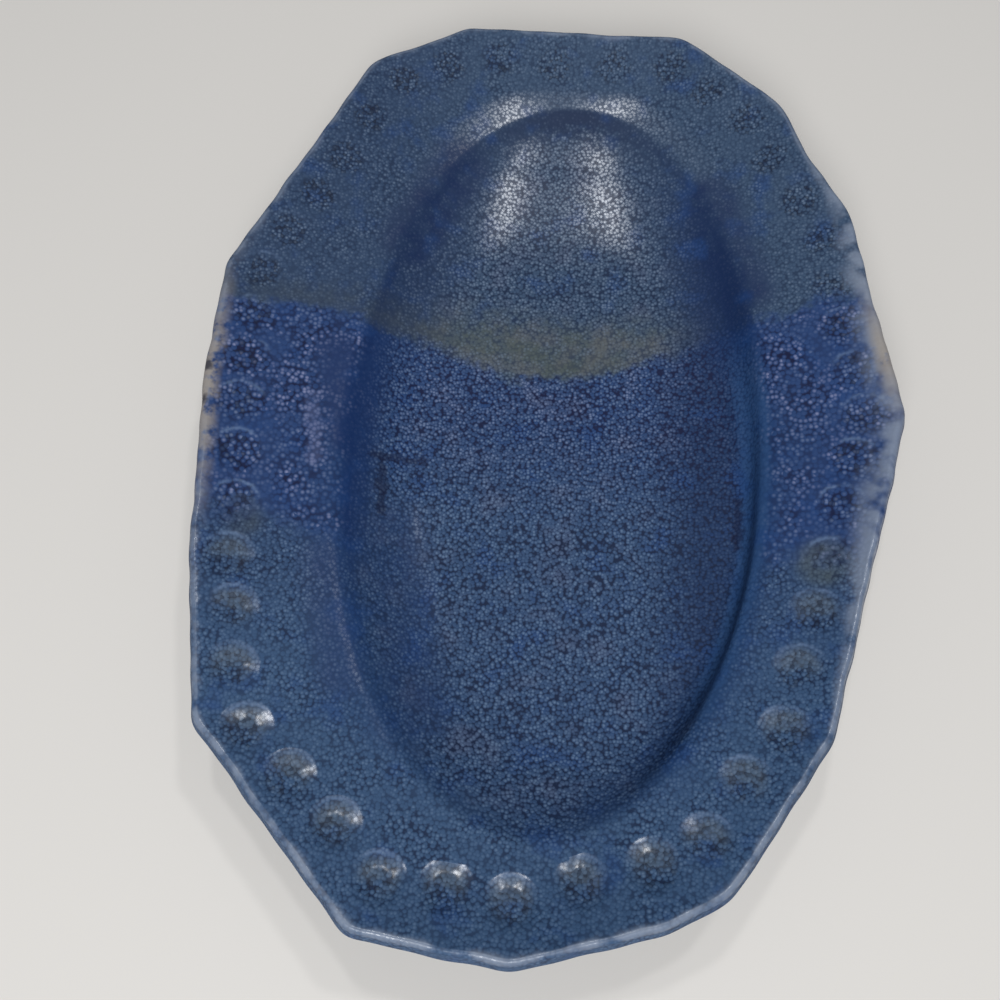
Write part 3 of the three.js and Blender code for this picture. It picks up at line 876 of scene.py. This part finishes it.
def glaze(name):
    material, tree, shader, place = new_material(name)
    x = place.part(0)
    y = place.part(1)
    z = place.part(2)
    stamp = attribute(tree, "stamp")
    stamp_far_side = attribute(tree, "stamp_far_side")
    edge = attribute(tree, "edge")
    steep = attribute(tree, "steep")
    drift = place.cloud(34, 3) - 0.5
    ripple = place.cloud(9, 2) - 0.5

    def tint(colour_name):
        return place.colour(*GLAZE_COLOURS[colour_name])

    # Where the coats end and overlap
    ragged = place.cloud(3, 3) - 0.5
    in_well = z.fall(24, 32) * edge.rise(24, 34)
    top = edge.rise(-2, 0)
    # Walls of the well, where the glaze pooled deeper and smoother; their dark colour is also painted
    # shade
    wall = steep.rise(0.4, 0.8) * edge.rise(24, 34) * (0.35 + 0.65 * y.rise(-90, -30))
    wall = wall * (1 - 0.65 * x.rise(40, 60) * y.fall(30, 70))
    wall = wall * (1 - 0.7 * x.fall(-40, -20) * z.fall(19, 25))
    wall = wall.higher(0.6 * steep.rise(0.16, 0.5) * in_well * y.rise(20, 60) * (1 - x.hill(0, 34)))
    slick = 0
    for start, end, inner, outer, strength in SLICKS:
        slick = (strength * place.away_from_line(start, end).fall(inner, outer)).higher(slick)
    wall = wall.higher((slick * (0.85 + ripple + 0.5 * ragged)).lower(1) * top)
    # Painted shade: a dark band just under the far lip, where the beads and the gloss also fall away
    shade_under_far_lip = edge.rise(36, 44) * (z + ragged * 7 + ripple * 3).rise(25.5, 29) * z.fall(31, 32)
    shade_under_far_lip = shade_under_far_lip * y.rise(110, 140) * x.hill(2, 40)
    # The floor turns darker towards its right, with fewer pale blotches and tips there
    darker_right_of_floor = in_well * x.rise(34, 64)
    far_line = 54 + x * 0.075 - 23 * x.hill(2, 50) + drift * 14 + ripple * 10 + ragged * 10
    past_far = y - far_line
    near_line = x * 0.02 - 48 + 7 * x.fall(-110, -70) + drift * 16 + ripple * 14 + ragged * 10
    floor_fade = 1 - in_well * y.fall(-42, 22)
    overlap = past_far.fall(-4, 4) * (y - near_line).rise(-7, 9) * floor_fade
    far_side = past_far.rise(-4, 4)
    band = 8 + 23 * x.hill(-4, 56)
    olive = past_far.rise(-3, 3) * (past_far - band + ripple * 24).fall(-14, 7) * x.fall(28, 70)
    olive = olive * (0.8 + 1.4 * ripple + 0.6 * ragged + drift)
    olive_patches = 0
    for middle, inner, outer in OLIVE_PATCHES:
        olive_patches = place.away_from(*middle).fall(inner, outer).higher(olive_patches)
    olive = olive.higher(olive_patches * (0.55 + ripple)).higher(0).lower(1)

    # Beads with dark pits between them and pale tips
    coarse = overlap * (1 - in_well)
    spread = place.beads(BEAD, 0) * (1 - coarse) + place.beads(OVERLAP_BEAD, 0) * coarse
    chances = place.beads(BEAD, 1).mix(place.beads(OVERLAP_BEAD, 1), coarse)
    pits = spread.rise(0.46, 0.82)
    tips = spread.fall(0.05, 0.6) * chances.part(0).rise(0, 0.9)
    patches = place.cloud(15, 3).rise(0.4, 0.6)
    uneven = stamp + ripple * 0.5
    cup = uneven.fall(0.6, 1.05)
    crowd = (0.6 + 0.4 * patches).higher(in_well * 0.95)
    crowd = crowd * (1 - (0.3 * far_side + 0.15 * y.fall(-80, -50)) * (1 - in_well))
    crowd = crowd * (1 - (0.15 + 0.4 * overlap) * stamp.rise(0.9, 1.2) * (edge + drift * 30).fall(20, 30))
    inner_rim = (edge + 8 * x.rise(0, 60)).rise(28, 50) * z.rise(26, 31)
    inner_rim = inner_rim * y.fall(0, 40) * y.rise(-150, -110)
    # Painted light: a paler colour on the right wall of the near half, lifting the shade that falls there;
    # fewer beads there too
    painted_light_on_right_wall = steep.rise(0.4, 0.8) * edge.rise(24, 34) * x.rise(50, 68)
    painted_light_on_right_wall = painted_light_on_right_wall * y.fall(20, 60) * y.rise(-140, -100)
    crowd = crowd * (1 - 0.3 * inner_rim) * (1 - 0.4 * painted_light_on_right_wall)
    crowd = crowd.higher(cup * 0.9) * (1 - 0.88 * wall) * (1 - 0.6 * olive) * (1 - 0.7 * shade_under_far_lip)

    plain = tint("near_coat").mix(tint("far_coat"), far_side)
    plain = plain.mix(tint("near_rim"), y.fall(-110, -50) * (1 - in_well) * 0.5)
    plain = plain.mix(tint("far_left"), x.fall(-80, -30) * far_side * 0.5)
    plain = plain.mix(tint("overlap"), overlap * (1 - 0.4 * in_well))
    plain = plain.mix(tint("right_of_floor"), darker_right_of_floor * 0.9)
    plain = plain.mix(tint("inner_rim"), inner_rim * 0.6)
    # Painted shade on the walls, over their deeper glaze
    plain = plain.mix(tint("near_wall_pooled_and_shaded").mix(tint("far_wall_pooled_and_shaded"), far_side), wall * 0.9)
    # Painted shade under the far lip
    plain = plain.mix(tint("shade_under_far_lip"), shade_under_far_lip * 0.9)
    # Painted light on the right wall
    plain = plain.mix(tint("painted_light_on_right_wall"), painted_light_on_right_wall * 0.75)
    pit = tint("near_pit").mix(tint("far_pit"), far_side)
    pit = pit.mix(tint("overlap_pit"), overlap)
    tip = tint("near_tip").mix(tint("far_tip"), far_side)
    tip = tip.mix(tint("overlap_tip"), overlap * (0.4 + 0.6 * patches) * (1 - 0.5 * in_well))
    blotch = place.cloud(14, 3)
    pale = blotch.rise(0.5, 0.75) * in_well * (1 - wall) * (1 - darker_right_of_floor)
    plain = plain.mix(tint("pale_blotch"), pale * 0.4)
    plain = plain.mix(tint("deep_blotch"), blotch.fall(0.28, 0.48) * 0.5)
    dry = tint("olive").mix(tint("olive_in_well"), blotch.rise(0.4, 0.6) * in_well)
    dry = dry.mix(tint("olive_on_left"), x.fall(-62, -30))
    plain = plain.mix(dry, olive * 0.9)
    colour = plain.mix(pit, pits * crowd)
    colour = colour.mix(tip, tips * crowd * (0.8 - 0.6 * darker_right_of_floor))

    # Stamps, where the glaze pools in specks
    pooled = chances.part(2).rise(0.6, 0.85) * cup
    # Painted light: the cups of the near coat turn paler towards their far side, where the light catches
    # them
    lit_far_side_of_cup = cup * (1 - overlap) * (1 - far_side) * (stamp_far_side + ripple * 3).rise(-1.2, 1)
    colour = colour.mix(tint("painted_light_in_stamp"), lit_far_side_of_cup * 0.5)
    colour = colour.mix(tint("pooled_stamp"), pooled * 0.55)
    # Pale line on each stamp's far border: partly the glaze breaking over the edge of the impression,
    # partly a painted highlight
    breaking_and_highlight_arc = (stamp + 0.25 * ragged).hill(1.0, 0.08) * stamp_far_side.rise(0.3, 0.9)
    breaking_and_highlight_arc = breaking_and_highlight_arc * place.cloud(8, 2).rise(0.3, 0.65) * y.fall(20, 110)
    colour = colour.mix(tint("stamp_arc_breaking_and_highlight"), breaking_and_highlight_arc * 0.5)

    # Pale streak on the left of the lip, and creases where the glaze crawled
    streak = place.away_from_line(*STREAK) + ragged * 9 + ripple * 8
    streak = streak.fall(0, 4.5) * (0.2 + 0.5 * spread.fall(0.1, 0.7))
    colour = colour.mix(tint("pale_streak"), streak * top)
    crease = place.away_from_line(*CREASES[0])
    for line in CREASES[1:]:
        crease = crease.lower(place.away_from_line(*line))
    crease = crease + ragged * 9 + ripple * 6
    colour = colour.mix(tint("crease"), crease.fall(0.2, 2.6) * 0.6 * top)

    # Cut edge, where the glaze runs thin; along the near arris it is made paler still, a painted highlight
    right_side = x.rise(95, 118) * y.rise(-120, -60)
    arris_reach = 1.2 + 6 * right_side + ripple * 3
    arris = (edge / arris_reach.higher(0.8)).hill(0, 1) * edge.rise(-6, -2)
    arris = arris * place.cloud(9, 2).rise(0.25, 0.6)
    # Painted highlight along the near arris
    near_arris_highlight = y.fall(-125, -80)
    colour = colour.mix(tint("arris"), arris * (0.5 + 0.3 * right_side + 0.3 * near_arris_highlight))
    bare = (x.rise(106, 118) * y.hill(38, 19)).higher(x.fall(-120, -112) * y.hill(4, 38))
    bare = bare * edge.fall(1, 6) * edge.rise(-9, -3) * place.cloud(7, 3, 0.6).rise(0.32, 0.52)
    colour = colour.mix(tint("bare_edge"), bare * 0.8)
    nick = place.away_from(*NICKS[0]).lower(place.away_from(*NICKS[1])) + ragged * 3
    colour = colour.mix(tint("nick"), nick.fall(1, 3.2) * 0.8)

    # Satin all over, glossier where the glaze ran together
    ramp = in_well * y.rise(80, 106) * x.hill(-3, 34) * (1 - 0.5 * y.hill(128, 5))
    far_lip = edge.rise(18, 26) * z.rise(30.5, 31.5) * z.fall(33, 35.5) * y.rise(95, 130) * x.hill(0, 70)
    glossy = ramp.higher(far_lip) * (1 - shade_under_far_lip)
    stamp_wall = stamp.rise(0.35, 0.6) * stamp.fall(1.02, 1.15) * stamp_far_side.rise(-0.2, 0.6)
    stamp_wall = stamp_wall * y.fall(-95, -35)
    glossy = glossy.higher(stamp_wall)
    glossy = glossy.higher(arris * y.fall(-60, 0)).higher(0.4 * wall)
    roughness = SATIN - SATIN_LOSS * glossy
    height = crowd * spread.fall(0, 0.9) + place.cloud(1.1, 2, 0.6) * 0.3
    finish_material(tree, shader, colour, roughness, height, 0.3, 0.5)
    shader.inputs["Specular IOR Level"].default_value = GLAZE_SHEEN
    shader.inputs["Coat Roughness"].default_value = GLASSY_ROUGHNESS
    glassy = glossy * (0.15 + 0.75 * spread.fall(0.15, 0.7))
    glassy = glassy.higher(stamp_wall * (0.35 + 0.6 * spread.fall(0.2, 0.8)))
    tree.links.new(glassy.link, shader.inputs["Coat Weight"])
    return material


def clay(name, base, grog, dark):
    material, tree, shader, place = new_material(name)
    drift = place.cloud(22, 3)
    grain = place.cloud(0.8, 3, 0.65)
    fleck = place.beads(1.7, 0).fall(0.1, 0.3) * place.beads(1.7, 1).part(0).rise(0.7, 0.9)
    colour = place.colour(*base).mix(place.colour(*grog), drift.rise(0.35, 0.7) * 0.5)
    colour = colour.mix(place.colour(*grog), grain.rise(0.45, 0.75) * 0.35)
    colour = colour.mix(place.colour(*dark), fleck * 0.6)
    roughness = 0.82 + 0.12 * grain
    finish_material(tree, shader, colour, roughness, grain + fleck * -0.5, 0.25, 0.5)
    return material


stoneware = clay("buff_stoneware", (196, 176, 148), (174, 150, 122), (92, 70, 54))
joining_slip = clay("joining_slip", (208, 190, 164), (190, 168, 140), (110, 88, 70))
looks = {
    "slumped_clay_slab": (stoneware, "clay_slab", "bare_clay"),
    "coiled_foot_ring": (stoneware, "foot_ring", "bare_clay"),
    "foot_joining_slip": (joining_slip, "foot_slip", "slip"),
    "far_glaze_coat": (glaze("blue_glaze_first_dip"), "first_glaze_dip", "first_glaze"),
    "near_glaze_coat": (glaze("blue_glaze_second_dip"), "second_glaze_dip", "second_glaze"),
}
for name, (material, node, slot) in looks.items():
    piece = pieces[name]
    piece.data.materials.append(material)
    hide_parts(node)
    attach(piece, "root")


# Floor, light and camera: places in metres, turns of the camera in degrees
FLOOR_HALF = 4.0
LAMPS_AIM = (0, 0, 0.02)
# Place, width and power of each lamp
LAMPS = {
    "left_lamp": ((-0.12, 0.46, 1.5), 0.12, 2.8),
    "right_lamp": ((0.36, 0.48, 1.5), 0.12, 2.8),
    "room_lamp": ((-0.1, -1.1, 1.3), 0.9, 21),
}
ROOM_COLOUR = (0.95, 0.97, 1.0, 1)
ROOM_STRENGTH = 0.22
CAMERA_PLACE = (-0.0047, -0.1771, 0.4025)
CAMERA_LENS = 38.6
CAMERA_LOOKS_DOWN = 68.2
CAMERA_TURN = 4.5


def pale_floor():
    half = FLOOR_HALF
    points = [(-half, -half, 0), (half, -half, 0), (half, half, 0), (-half, half, 0)]
    mesh = bpy.data.meshes.new("pale_floor")
    mesh.from_pydata(points, [], [(0, 1, 2, 3)])
    floor = bpy.data.objects.new("pale_floor", mesh)
    bpy.context.scene.collection.objects.link(floor)
    material, _, shader, _ = new_material("pale_floor")
    shader.inputs["Base Color"].default_value = (0.72, 0.7, 0.67, 1)
    shader.inputs["Roughness"].default_value = 0.7
    mesh.materials.append(material)


def soft_lamp(name, place, size, power):
    lamp = bpy.data.lights.new(name, "AREA")
    lamp.shape = "DISK"
    lamp.size = size
    lamp.energy = power
    lamp_object = bpy.data.objects.new(name, lamp)
    lamp_object.location = place
    lamp_object.rotation_euler = (Vector(LAMPS_AIM) - Vector(place)).to_track_quat("-Z", "Y").to_euler()
    bpy.context.scene.collection.objects.link(lamp_object)


def light():
    world = bpy.data.worlds.new("soft_room")
    world.use_nodes = True
    background = world.node_tree.nodes["Background"]
    background.inputs["Color"].default_value = ROOM_COLOUR
    background.inputs["Strength"].default_value = ROOM_STRENGTH
    bpy.context.scene.world = world
    for name, (place, size, power) in LAMPS.items():
        soft_lamp(name, place, size, power)


def photo_camera():
    camera = bpy.data.cameras.new("photo_camera")
    camera.sensor_width = 36
    camera.lens = CAMERA_LENS
    camera.clip_start = 0.01
    holder = bpy.data.objects.new("photo_camera", camera)
    holder.location = CAMERA_PLACE
    holder.rotation_euler = (math.radians(90 - CAMERA_LOOKS_DOWN), 0, math.radians(CAMERA_TURN))
    bpy.context.scene.collection.objects.link(holder)
    bpy.context.scene.camera = holder


pale_floor()
light()
photo_camera()
bpy.context.scene.view_settings.view_transform = "Standard"

bpy.context.view_layer.update()
